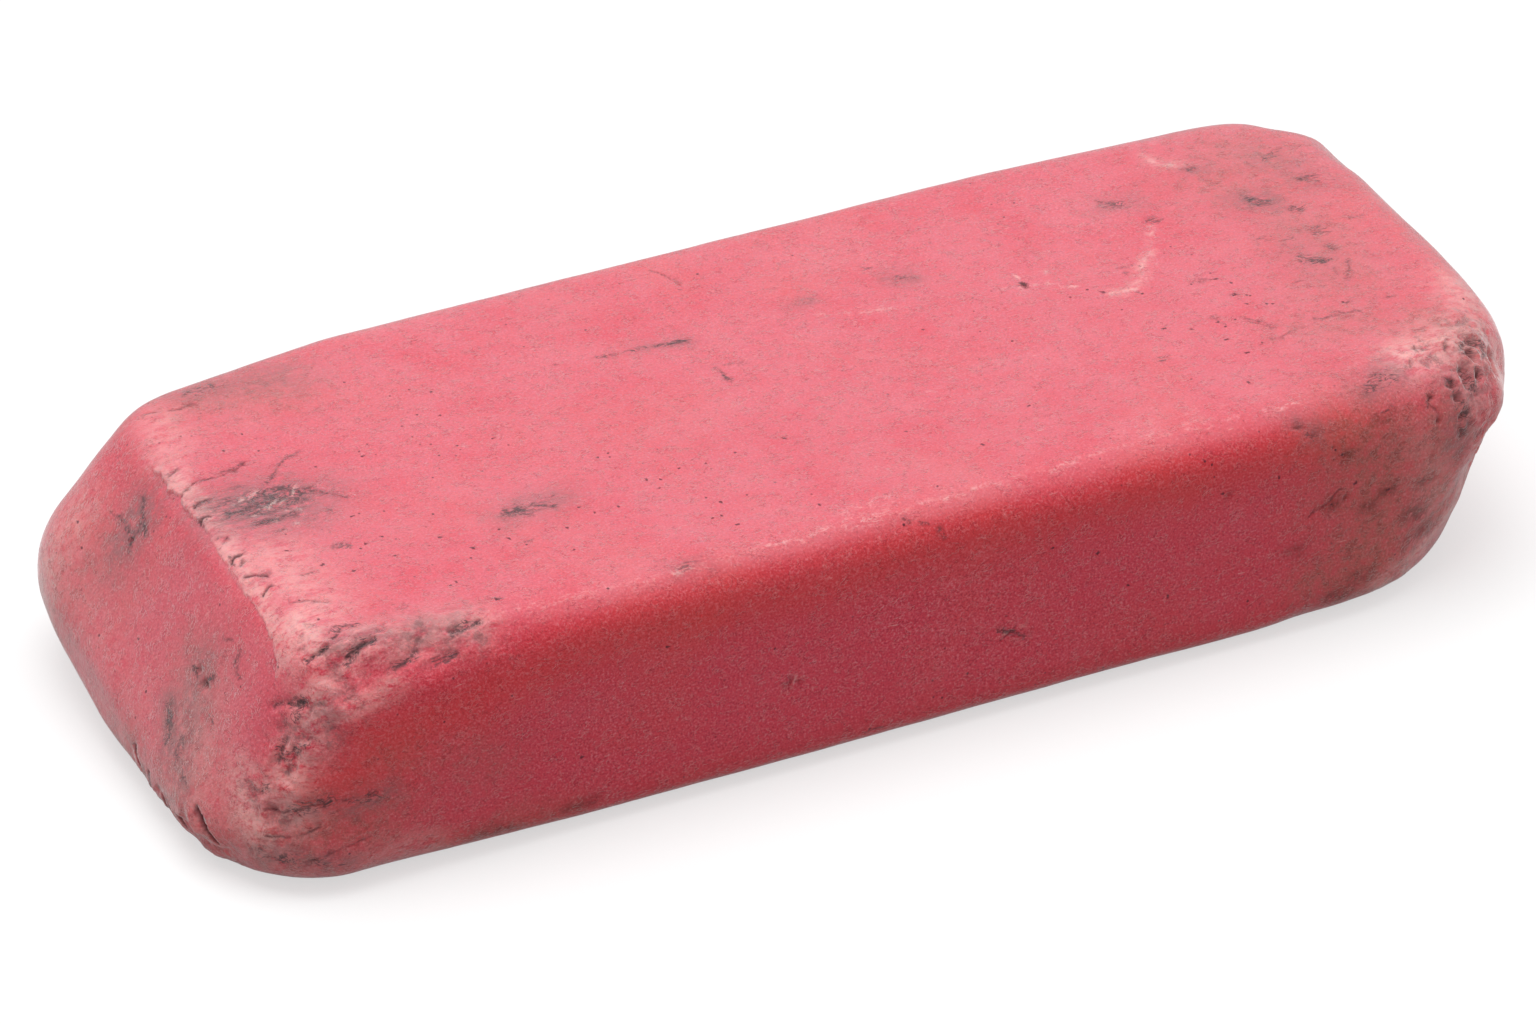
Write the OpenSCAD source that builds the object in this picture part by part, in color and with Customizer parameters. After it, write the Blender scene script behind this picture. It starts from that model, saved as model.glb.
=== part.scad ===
// Worn block eraser: one moulded piece of pink rubber, a parallelogram seen from its long side.
// It lies on its bottom face, with its origin at the middle of that face. +X runs from the left
// end, which leans in towards the top, to the right end, which leans in towards the bottom.
// +Y runs from the front long side to the back one, and +Z is up.

/* [Block] */
// Overall length, from the foot of the left end to the nose of the right end
block_length = 58; // [46:1:70]
// Width across the two long sides
block_width = 23; // [18:0.2:28]
// Thickness, from the bottom face to the top face
block_height = 10.1; // [8:0.1:14]

/* [Slanted ends] */
// How far the left end's top edge is set back from its foot
left_slant = 3; // [0:0.1:7]
// How far the right end's foot is set back from its nose
right_slant = 1.7; // [0:0.1:7]
// Radius of the bow, seen from above, at the middle of each end
end_bow_r = 8.6; // [6:0.2:9]
// Rim rounding at the middle of the left end's foot
left_foot_rim = 2.2; // [0.8:0.1:3.5]
// Rim rounding at the middle of the left end's top edge
left_top_rim = 1.6; // [0.8:0.1:3.5]
// Rim rounding at the middle of the right end's foot
right_foot_rim = 2; // [0.8:0.1:3.5]
// Rim rounding at the middle of the right end's nose
right_nose_rim = 2.7; // [0.8:0.1:3.5]

/* [Long edges] */
// Rounding of the top front edge between its worn ends
top_front_edge_r = 1.6; // [0.6:0.1:2.5]
// Rounding of the top back edge between its worn ends
top_back_edge_r = 1.5; // [0.6:0.1:2.5]
// Rounding of the bottom front edge between its worn ends
bottom_front_edge_r = 1.3; // [0.6:0.1:2.5]
// Rounding of the bottom back edge between its worn ends
bottom_back_edge_r = 1.5; // [0.6:0.1:2.5]
// Length of the middle stretch where the long edges are still crisp
crisp_length = 30; // [10:1:36]

/* [Left end corners] */
// Corner radius seen from above, at the front foot
left_front_foot_r = 5.5; // [3:0.1:9]
// Rim rounding at the front foot
left_front_foot_rim = 1.9; // [0.8:0.1:3.5]
// Corner radius seen from above, at the front top
left_front_top_r = 3.4; // [3:0.1:9]
// Rim rounding at the front top
left_front_top_rim = 1.9; // [0.8:0.1:3]
// How far the front top corner is rubbed back from the end
left_front_top_back = 0.2; // [0:0.1:2]
// How far the front top corner is rubbed in from the long side
left_front_top_in = 0.5; // [0:0.1:2]
// Corner radius seen from above, at the back foot
left_back_foot_r = 4; // [4:0.1:9]
// Rim rounding at the back foot, the most worn one of this end
left_back_foot_rim = 3.8; // [0.8:0.1:4]
// How far the back foot corner is rubbed back from the end
left_back_foot_back = 0.3; // [0:0.1:2]
// Corner radius seen from above, at the back top
left_back_top_r = 4; // [3:0.1:9]
// Rim rounding at the back top
left_back_top_rim = 1.5; // [0.8:0.1:3]
// How far the back top corner is rubbed back from the end
left_back_top_back = 0.4; // [0:0.1:2]
// How far the back top corner is rubbed in from the long side
left_back_top_in = 0.9; // [0:0.1:2]

/* [Right end corners] */
// Corner radius seen from above, at the front foot
right_front_foot_r = 7.9; // [3:0.1:9]
// Rim rounding at the front foot
right_front_foot_rim = 1.6; // [0.8:0.1:3]
// How far the front foot corner is rubbed back from the end
right_front_foot_back = 0.2; // [0:0.1:2]
// Corner radius seen from above, at the front nose
right_front_nose_r = 6.5; // [4:0.1:9]
// Rim rounding at the front nose
right_front_nose_rim = 2.6; // [0.8:0.1:4]
// How far the front nose corner is rubbed back from the end
right_front_nose_back = 0.4; // [0:0.1:2]
// Corner radius seen from above, at the back foot
right_back_foot_r = 4.5; // [3:0.1:9]
// Rim rounding at the back foot
right_back_foot_rim = 2.4; // [0.8:0.1:3]
// Corner radius seen from above, at the back nose
right_back_nose_r = 5.1; // [3:0.1:9]
// Rim rounding at the back nose
right_back_nose_rim = 2.4; // [0.8:0.1:3]

/* [Chips] */
// Radius of the hollow that a small chip leaves
small_chip_r = 2.5; // [1:0.1:3]
// Radius of the hollow that a large, shallow chip leaves
large_chip_r = 4; // [3:0.1:6]
// How deep the chips of the left end and the right end's front nose go
deep_chip_depth = 0.4; // [0.1:0.05:0.8]
// How deep the shallow chips of the edges go
shallow_chip_depth = 0.15; // [0.05:0.05:0.5]

/* [Hidden] */

LEFT = -1;
RIGHT = 1;
FRONT = -1;
BACK = 1;
BOTTOM = -1;
TOP = 1;

facets = 32;
chip_facets = 48;

// X of the outermost point of an end, at its bottom or top corners.
function end_x(end, level) =
    end * block_length / 2
    + (end == LEFT && level == TOP ? left_slant : 0)
    - (end == RIGHT && level == BOTTOM ? right_slant : 0);

// Height of the centre of a rim that is tangent to the bottom or top face.
function rim_z(level, rim) = level == TOP ? block_height - rim : rim;

// A disc of radius r with a fully rounded rim; it is a ball where rim equals r.
module rubbed_disc(r, rim) {
    rotate_extrude($fn = facets)
        intersection() {
            translate([r - rim, 0])
                circle(r = rim, $fn = facets);
            translate([0, -rim])
                square([r, 2 * rim]);
        }
}

// One of the eight corners, rubbed to radius r in plan and to rim in section. It may be set back
// from the end and set in from the long side.
module corner(end, side, level, r, rim, back = 0, in = 0) {
    translate([
        end_x(end, level) - end * (r + back),
        side * (block_width / 2 - r - in),
        rim_z(level, rim)
    ])
        rubbed_disc(r, rim);
}

// The bow in the middle of an end, at its bottom or top edge.
module end_bow(end, level, rim) {
    translate([end_x(end, level) - end * end_bow_r, 0, rim_z(level, rim)])
        rubbed_disc(end_bow_r, rim);
}

// Two balls that hold one long edge to its own rounding along the crisp middle stretch.
module long_edge(side, level, r) {
    for (x = [-crisp_length / 2, crisp_length / 2])
        translate([x, side * (block_width / 2 - r), rim_z(level, r)])
            rubbed_disc(r, r);
}

module rubbed_block() {
    hull() {
        corner(LEFT, FRONT, BOTTOM, left_front_foot_r, left_front_foot_rim);
        corner(LEFT, FRONT, TOP, left_front_top_r, left_front_top_rim,
               left_front_top_back, left_front_top_in);
        corner(LEFT, BACK, BOTTOM, left_back_foot_r, left_back_foot_rim, left_back_foot_back);
        corner(LEFT, BACK, TOP, left_back_top_r, left_back_top_rim,
               left_back_top_back, left_back_top_in);
        corner(RIGHT, FRONT, BOTTOM, right_front_foot_r, right_front_foot_rim,
               right_front_foot_back);
        corner(RIGHT, FRONT, TOP, right_front_nose_r, right_front_nose_rim,
               right_front_nose_back);
        corner(RIGHT, BACK, BOTTOM, right_back_foot_r, right_back_foot_rim);
        corner(RIGHT, BACK, TOP, right_back_nose_r, right_back_nose_rim);
        end_bow(LEFT, BOTTOM, left_foot_rim);
        end_bow(LEFT, TOP, left_top_rim);
        end_bow(RIGHT, BOTTOM, right_foot_rim);
        end_bow(RIGHT, TOP, right_nose_rim);
        long_edge(FRONT, TOP, top_front_edge_r);
        long_edge(BACK, TOP, top_back_edge_r);
        long_edge(FRONT, BOTTOM, bottom_front_edge_r);
        long_edge(BACK, BOTTOM, bottom_back_edge_r);
    }
}

// The hollow of one chip: a ball that cuts depth deep where it meets the surface. The spot is
// measured inwards from an end, a long side and the bottom or top face, and out is the
// direction in which the surface faces there.
module chip(end, side, level, from_end, from_side, from_level, out, r, depth) {
    spot = [
        end_x(end, level) - end * from_end,
        side * (block_width / 2 - from_side),
        level == TOP ? block_height - from_level : from_level
    ];
    translate(spot + out / norm(out) * (r - depth))
        sphere(r = r, $fn = chip_facets);
}

module chips() {
    // The rubbed-down stretch of the top front edge beside the left end
    chip(LEFT, FRONT, TOP, 3, 1, 1.1, [-3, -6, 5], large_chip_r, deep_chip_depth);
    chip(LEFT, FRONT, TOP, 5.6, 0.7, 0.8, [-1, -6, 6], large_chip_r, deep_chip_depth);
    chip(LEFT, FRONT, TOP, 8.2, 0.6, 0.7, [0, -6, 6], large_chip_r, shallow_chip_depth);
    // The torn foot of the left end
    chip(LEFT, FRONT, BOTTOM, 0.1, 4.9, 1.3, [-9, -2, -3], large_chip_r, deep_chip_depth);
    chip(LEFT, FRONT, BOTTOM, 0.7, 3.1, 1.2, [-8, -5, -4], small_chip_r, deep_chip_depth);
    // The gouge and the lost flake on the right end's front nose
    chip(RIGHT, FRONT, TOP, 2, 2.6, 1.6, [7, -5, 4], small_chip_r, deep_chip_depth);
    chip(RIGHT, FRONT, BOTTOM, 1.9, 1.7, 4.8, [6, -8, -2], large_chip_r, deep_chip_depth);
    // The notch in the right end's back nose
    chip(RIGHT, BACK, TOP, 2.2, 2.2, 0.6, [4, 4, 8], small_chip_r, shallow_chip_depth);
    // The nick in the bottom front edge
    chip(RIGHT, FRONT, BOTTOM, 10.1, 0.3, 0.6, [0, -8, -6], small_chip_r, shallow_chip_depth);
}

module eraser() {
    color("#d8606f")
        difference() {
            rubbed_block();
            chips();
        }
}

eraser();
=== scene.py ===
import functools
import math

import bmesh
import bpy
import numpy as np
from mathutils import Matrix, Vector, noise
from mathutils.bvhtree import BVHTree


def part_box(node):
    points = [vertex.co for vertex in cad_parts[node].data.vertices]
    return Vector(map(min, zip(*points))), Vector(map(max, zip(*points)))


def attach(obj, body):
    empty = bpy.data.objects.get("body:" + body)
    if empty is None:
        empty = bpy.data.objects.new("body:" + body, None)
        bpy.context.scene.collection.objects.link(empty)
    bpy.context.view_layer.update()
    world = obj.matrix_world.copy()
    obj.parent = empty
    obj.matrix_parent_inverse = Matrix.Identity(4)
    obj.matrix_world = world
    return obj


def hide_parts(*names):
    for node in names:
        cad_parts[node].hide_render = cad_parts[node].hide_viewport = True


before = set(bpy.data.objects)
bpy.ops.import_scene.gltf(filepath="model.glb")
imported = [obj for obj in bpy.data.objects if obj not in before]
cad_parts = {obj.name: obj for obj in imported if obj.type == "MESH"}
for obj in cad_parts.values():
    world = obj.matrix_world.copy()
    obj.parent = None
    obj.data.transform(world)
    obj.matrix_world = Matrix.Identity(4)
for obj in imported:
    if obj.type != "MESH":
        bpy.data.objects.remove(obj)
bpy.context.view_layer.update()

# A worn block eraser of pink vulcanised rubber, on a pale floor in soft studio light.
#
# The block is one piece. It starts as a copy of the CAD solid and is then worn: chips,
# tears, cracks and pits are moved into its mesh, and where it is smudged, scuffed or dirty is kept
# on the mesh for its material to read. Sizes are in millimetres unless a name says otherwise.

MM = 0.001
NODE = "eraser"
LOW, HIGH = (np.array(corner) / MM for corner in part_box(NODE))

# ---- The block's mesh ----

# Distance between the points of the mesh, before the worn places get finer ones.
MESH_STEP = 0.3
# Passes that round off the CAD solid's flat facets.
FACET_SMOOTHING = 8
# How much the surface of a moulded and rubbed block rises and sinks, slowly and finely.
SLOW_UNEVENNESS = 0.05
FINE_UNEVENNESS = 0.012
# How far the crumbs of torn rubber stand out, and how much all of the torn rubber does.
CRUMB_HEIGHT = 0.17
TORN_SWELL = 0.02
# How far a chafed edge and a scratch stand up.
CREST_HEIGHT = 0.025
SCRATCH_HEIGHT = 0.02
# How high rubber is pushed up along a lip and round a pit, as a share of the depth beside it.
LIP_SHARE = 0.3
PIT_RIM_SHARE = 0.14
# How pale the band above a lip is rubbed.
BAND_PALENESS = 0.72
# The depth from which the painted shade in a crack is full.
FULL_CRACK_SHADE_DEPTH = 0.08

# The six faces: the axis that each is looked at along, the way one looks, and the two axes that
# place a mark on it.
FACES = {
    "top": (2, -1, (0, 1)),
    "bottom": (2, 1, (0, 1)),
    "front": (1, 1, (0, 2)),
    "back": (1, -1, (0, 2)),
    "left": (0, 1, (1, 2)),
    "right": (0, -1, (1, 2)),
}

# ---- Marks, by the face that they are laid on: (half width, strength, point, point, ...) ----
#
# Those of the back, of the bottom and of most of the right end follow the ones of the other sides.

# Pencil graphite rubbed into the surface. The rubbed-down edge is the top front one, beside the left
# end.
GRAPHITE = {
    "top": [
        # The big smudge behind the left end's top edge, its tail, its branch and its haze
        (1.1, 0.72, (-23.3, 0.6), (-21.4, 0.5)), (0.34, 1, (-22.9, 0.6), (-22, 0.8), (-21, 0.8)),
        (0.22, 0.8, (-23.1, 0.1), (-22.2, 0.2)),
        (0.22, 0.9, (-23, -0.7), (-22.2, -0.7), (-21.6, -0.6)),
        (0.18, 0.6, (-20.4, 0.6), (-19.4, -0.3)), (0.18, 0.6, (-21.4, 2), (-20.2, 3.1)),
        (0.22, 0.8, (-21, -3.4), (-20.5, -3.6)), (0.16, 0.6, (-20.4, -1), (-20.1, -1)),
        # The spot in front of it, and the small ones along the middle
        (0.5, 0.5, (-14, -4.3), (-12.6, -4.3)), (0.2, 1, (-14.3, -4.1), (-13.6, -4.3)),
        (0.2, 0.9, (-13.1, -4.2), (-12.4, -4.5)),
        (0.14, 0.7, (-6.3, 4.5), (-4.6, 4.3), (-2.4, 4.1)), (0.26, 0.6, (-3.6, 4.2), (-3, 4.2)),
        (0.2, 1, (-2.4, 1.3), (-2.4, 0.9)), (0.14, 0.5, (-1.6, 9.6), (-1.1, 8.8)),
        (0.2, 0.7, (-1.4, 7.9), (-1.1, 7.7)), (0.26, 0.6, (2.6, 4.7), (3.1, 4.7)),
        (0.2, 0.6, (5.9, 6.1), (6.4, 5.8)), (0.3, 0.8, (7.1, 4.8), (7.5, 4.6)),
        (0.16, 1.2, (11.4, 2.1), (11.5, 2)), (0.26, 1, (17.1, 6.2), (17.8, 5.8)),
        (0.24, 0.9, (18.3, 4.1), (18.5, 4.1)), (0.3, 0.9, (21.7, 7), (21.9, 7)),
        (0.36, 1, (22.7, 3.7), (23.2, 3.4)), (0.3, 0.85, (23.9, 2.5), (24.2, 2.5)),
        (0.34, 0.85, (25.5, 4.4), (25.9, 4.3)), (0.34, 0.8, (24.9, 6.5), (25.6, 6.6)),
        (0.34, 0.9, (23.9, 0.7), (24.2, 0.5)), (0.18, 0.9, (21.3, 1.1), (22.1, 0.6), (23, 0.6)),
        (0.34, 1, (22.4, -1.1), (23.1, -1.6)), (0.14, 0.7, (15.2, 1.5), (15.3, 1.1)),
        (0.14, 0.7, (15.8, 1.3), (15.9, 0.9)), (0.16, 0.7, (16.3, 1.3), (16.4, 0.9)),
        (0.22, 0.9, (13.5, -5.1), (13.7, -5.3)), (0.5, 0.8, (20.5, -10.1), (21.2, -9.8)),
        (0.3, 0.5, (-9.9, -10.4), (-9, -10.2)), (0.16, 0.9, (-17.1, -9.4), (-17, -9.4)),
        (0.45, 0.7, (-21.6, 9.1), (-20.6, 9.3)),
        # The rubbed-down edge
        (0.26, 0.7, (-23.6, -8.8), (-23.2, -8.6), (-22.6, -8.7)),
        (0.26, 1, (-23.3, -9.7), (-22.9, -9.6), (-22.4, -9.6)),
        (0.22, 0.9, (-19.3, -10.2), (-18.3, -10.2)), (0.2, 1, (-24.7, -9.2), (-24.1, -9.2)),
        # The front nose of the right end
        (0.4, 0.9, (25, -9.4), (25.4, -8.9), (25.9, -9.1)), (0.34, 0.8, (24.5, -10), (24.6, -10.5)),
    ],
    "front": [
        # The rubbed-down edge
        (0.26, 0.9, (-21.8, 9.1), (-21.4, 9.1), (-20.9, 9.3)),
        (0.2, 0.8, (-20.3, 8.9), (-19.5, 9.1)),
        (0.26, 0.7, (-26.1, 5.7), (-25.7, 6.2), (-25.4, 6.5)),
        (0.2, 0.6, (-26.9, 4.3), (-26.6, 4.8)),
        # The left end's front foot
        (0.36, 0.9, (-26, 3.8), (-24.8, 4.2)), (0.3, 0.7, (-24.2, 4.2), (-22.7, 4.1)),
        (0.34, 0.7, (-27.2, 1.9), (-26.2, 1.7)), (0.3, 0.6, (-25.4, 1.6), (-24.4, 1.4)),
        # The front nose of the right end
        (0.26, 0.9, (25.3, 9), (24.9, 8.7)), (0.3, 0.9, (23.8, 9.3), (23.8, 8.9)),
        (0.4, 0.8, (24, 8.3), (24.2, 7.7), (24, 7.3)), (0.24, 0.5, (24.9, 5.9), (24.4, 5.3)),
        # The front side
        (0.16, 0.8, (16.4, 9.5), (17.2, 9)), (0.2, 0.7, (3.3, 3.9), (4.3, 3.7)),
        (0.12, 0.8, (0.1, 9.6), (0.4, 9.5)),
    ],
    "left": [
        # The rubbed-down edge
        (0.24, 1, (-9.3, 7.8), (-9.7, 7.9)), (0.3, 0.7, (-9.6, 7.3), (-9.6, 7.7)),
        (0.18, 0.9, (-9.6, 5.6), (-9.6, 6.3)),
        # The left end
        (0.24, 1, (3.4, 7.8), (3.5, 8.1)), (0.26, 0.7, (3.9, 8.8), (3, 8.5)),
        (0.22, 0.6, (5, 8), (4.2, 8.1)), (0.2, 0.9, (-3.7, 6.4), (-4, 6.4)),
        (0.24, 1, (-4.7, 6.5), (-4.9, 6.7)), (0.24, 0.6, (-5.5, 6), (-6.1, 5.5)),
        (0.32, 0.8, (-3.3, 4.7), (-4.1, 3.7)), (0.3, 0.7, (-4.9, 4.1), (-5, 3.4)),
        (0.26, 0.6, (-5.8, 3.5), (-6, 2.9)),
    ],
    "right": [
        (0.3, 0.8, (4, 5.6), (3.4, 6.6)), (0.24, 0.6, (-2.4, 5), (-3, 4.2)),
    ],
    "back": [
        (0.3, 0.8, (14, 6.2), (15.2, 6)), (0.2, 0.6, (-4, 8.2), (-2.8, 8)),
        (0.4, 0.8, (-18, 3), (-16.6, 3.4)), (0.16, 0.7, (5.2, 3.2), (7.4, 3.6)),
    ],
    "bottom": [
        (0.6, 0.8, (-14, 3), (-12, 3.4)), (0.3, 0.7, (8, -5), (10, -4.6)),
        (0.8, 0.6, (18, 4), (20, 5)),
    ],
}

# Fine dark lines of graphite, in the smudges and on their own.
PENCIL = {
    "top": [
        # The big smudge, its branch and its tail
        (0.08, 0.9, (-23, 3.2), (-22.5, 3.2), (-21.9, 3.5)),
        (0.07, 0.9, (-21.7, 1.7), (-21.3, 2), (-20.9, 2.5), (-20.4, 3), (-19.7, 3.3)),
        (0.09, 1, (-22.8, 0.8), (-21.8, 1.3), (-20.8, 0.8), (-20.3, 0.7)),
        (0.11, 1, (-23.2, 0.5), (-22.1, 0.5), (-21.6, 0.4), (-20.7, 0.7)),
        (0.09, 0.9, (-23.6, 0.4), (-22.7, 0.3)), (0.08, 0.9, (-23.2, 0), (-22.1, 0.2)),
        (0.09, 1, (-23.2, -0.7), (-22.3, -0.7), (-21.5, -0.7)),
        (0.07, 0.9, (-22.7, -1.5), (-22.3, -1.5)),
        (0.07, 0.8, (-20.3, 0.7), (-19.7, 0), (-19.3, -0.5)),
        (0.07, 0.8, (-20.9, 0.8), (-20.8, 0.3), (-21, -0.1)), (0.07, 0.7, (-23, 1.9), (-22.4, 1.9)),
        (0.07, 0.7, (-23.9, 0.6), (-23.6, 0.3)), (0.07, 0.8, (-20.3, -0.9), (-20.1, -1.1)),
        (0.1, 0.9, (-21.1, -3.4), (-20.5, -3.6)), (0.06, 0.8, (-23.1, -4.7), (-22.4, -4.7)),
        # Across the pale band of the left end's top edge
        (0.07, 1, (-24.7, 1.6), (-24.2, 1.7)), (0.06, 0.9, (-24.8, 4.1), (-24.3, 4.3)),
        (0.08, 0.9, (-25, 0.6), (-24.6, 0.6)), (0.07, 0.9, (-25, 0.3), (-24.8, 0.3)),
        (0.07, 0.7, (-24.9, -0.9), (-24.5, -1)),
        (0.09, 0.9, (-25, -2.4), (-24.8, -2.3), (-24.5, -2.3)),
        (0.08, 0.9, (-24.9, -2.1), (-25, -2.7)), (0.09, 0.8, (-24.9, -3.6), (-24.2, -4.1)),
        (0.06, 0.8, (-24.2, 3), (-23.4, 3)),
        # The spot in front of the big smudge
        (0.1, 1, (-14.3, -4.1), (-13.6, -4.3)),
        (0.06, 0.9, (-14.3, -4.3), (-13.4, -4.6), (-13.1, -4.5)),
        (0.08, 0.9, (-13.1, -4.1), (-12.4, -4.6)), (0.05, 0.9, (-12.6, -3.8), (-12, -3.8)),
        (0.06, 0.9, (-13.9, -3.7), (-13.6, -3.7)), (0.05, 0.8, (-14.7, -4.4), (-14.5, -4.3)),
        (0.05, 0.8, (-14.5, -6.3), (-14.2, -6.3)),
        # The middle, and along the top front edge
        (0.07, 0.9, (-2.4, 1.9), (-2.4, 0.8)), (0.05, 0.8, (-2.1, 1.8), (-1.2, 1.6)),
        (0.06, 0.7, (-6.4, 4.5), (-5.2, 4.3)), (0.08, 0.8, (-3.9, 4.2), (-2.6, 4.1)),
        (0.09, 0.9, (-0.5, -10.7), (-0.3, -10.9)),
        # In the chips' hollows
        (0.1, 0.9, (-23.4, -9.8), (-22.9, -9.6), (-22.3, -9.6)),
        (0.08, 0.9, (-23.7, -9), (-23.2, -8.6)), (0.09, 0.9, (-19.4, -10.3), (-18.1, -10.2)),
        (0.09, 1, (-24.8, -9.2), (-24, -9.2)),
        # The nose of the right end
        (0.07, 0.9, (23, -9.1), (23.1, -8.6)), (0.05, 0.8, (22.2, -9.9), (22.5, -9.4)),
        (0.07, 0.8, (24.1, -9.3), (24.5, -8.8)),
        # The right end of the top
        (0.09, 0.8, (17.1, 6.4), (17.7, 5.9)), (0.12, 0.8, (21.5, 7.2), (21.8, 7)),
        (0.1, 0.8, (18.1, 4.2), (18.4, 4.3)), (0.14, 0.9, (22.7, 4), (23.1, 3.6)),
        (0.09, 0.8, (23.8, 2.6), (24, 2.7)), (0.08, 0.8, (25.3, 4.5), (26, 4.5)),
        (0.08, 0.7, (25.6, 0.9), (26.2, 0.9)), (0.09, 0.8, (24, 0.7), (24.2, 0.9)),
        (0.1, 0.8, (23.8, -0.5), (23.8, -0.9)), (0.1, 0.9, (22.6, -1.4), (23.1, -1.5)),
        (0.08, 0.7, (15.4, 1.5), (16, 1.5)), (0.07, 0.7, (15.1, -0.3), (15.3, -0.6)),
        (0.05, 0.8, (17.4, -0.7), (18.4, -0.8)), (0.07, 0.9, (18.4, -2.2), (18.7, -2.3)),
        (0.05, 0.9, (18.1, -4), (18.4, -4.3), (18.8, -5)), (0.05, 0.8, (16.9, -3.4), (17.2, -4.1)),
        (0.06, 0.9, (20.5, -5.3), (21.7, -5.3), (22.5, -5.5)),
        (0.08, 0.9, (22.2, -4.7), (22.5, -4.7)), (0.06, 0.7, (23, -2.7), (23.2, -2.1)),
        (0.07, 0.8, (23.2, -3.1), (23.7, -2.5), (24, -1.8)), (0.06, 0.8, (23.9, -5), (24.2, -5.1)),
        (0.05, 0.7, (21, -2.5), (21.7, -2.5)),
    ],
    "front": [
        # The middle, and along the top front edge
        (0.07, 0.9, (0.1, 9.6), (0.4, 9.5)), (0.07, 1, (0.7, 9.4), (0.9, 9)),
        (0.06, 0.9, (-5.9, 4.1), (-5.7, 4.4)), (0.06, 0.9, (3.4, 3.9), (4.6, 3.4)),
        (0.07, 0.8, (-2.3, 0.9), (-1.7, 0.9)),
        # In the chips' hollows
        (0.1, 0.9, (-21.9, 9), (-21.4, 9.1), (-20.8, 9.3)), (0.08, 0.9, (-20.4, 8.8), (-19.4, 9.1)),
        # The nose of the right end
        (0.07, 0.9, (22.8, 9.2), (22.4, 8.8)), (0.06, 0.9, (20.1, 9.1), (21, 9.1)),
    ],
    "left": [
        # The left end
        (0.1, 0.9, (4.4, 9.1), (3.6, 8.7), (2.8, 8.4)), (0.12, 1, (4.1, 8), (3.4, 8), (3.3, 7.7)),
        (0.08, 0.9, (3.4, 8), (3.3, 8.3), (3.5, 8.6)),
        (0.08, 0.8, (5.7, 7.9), (4.5, 8.1), (4, 8.1)), (0.06, 0.7, (5.1, 7.9), (4.9, 8.2)),
        (0.07, 0.7, (3.2, 7.4), (3.2, 7.8)), (0.1, 1, (-3.6, 6.4), (-4, 6.4)),
        (0.13, 1, (-4.7, 6.4), (-5, 6.8)),
        (0.08, 1, (-5.9, 8.2), (-5.8, 7.9), (-6.2, 7.6), (-6.5, 7.5)),
        (0.08, 0.8, (-4.6, 8), (-5.1, 8.3)), (0.06, 0.9, (-3.2, 5.1), (-3.5, 4.3), (-4, 3.9)),
        (0.1, 0.9, (-4.8, 4.2), (-4.9, 3.6)), (0.08, 0.8, (-5.9, 3.2), (-6.3, 3)),
        # In the chips' hollows
        (0.1, 1, (-9.2, 7.8), (-9.8, 8)), (0.07, 0.9, (-8.7, 7.4), (-9, 7.7)),
        (0.07, 1, (-9.6, 5.5), (-9.6, 6.4)),
    ],
}

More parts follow.
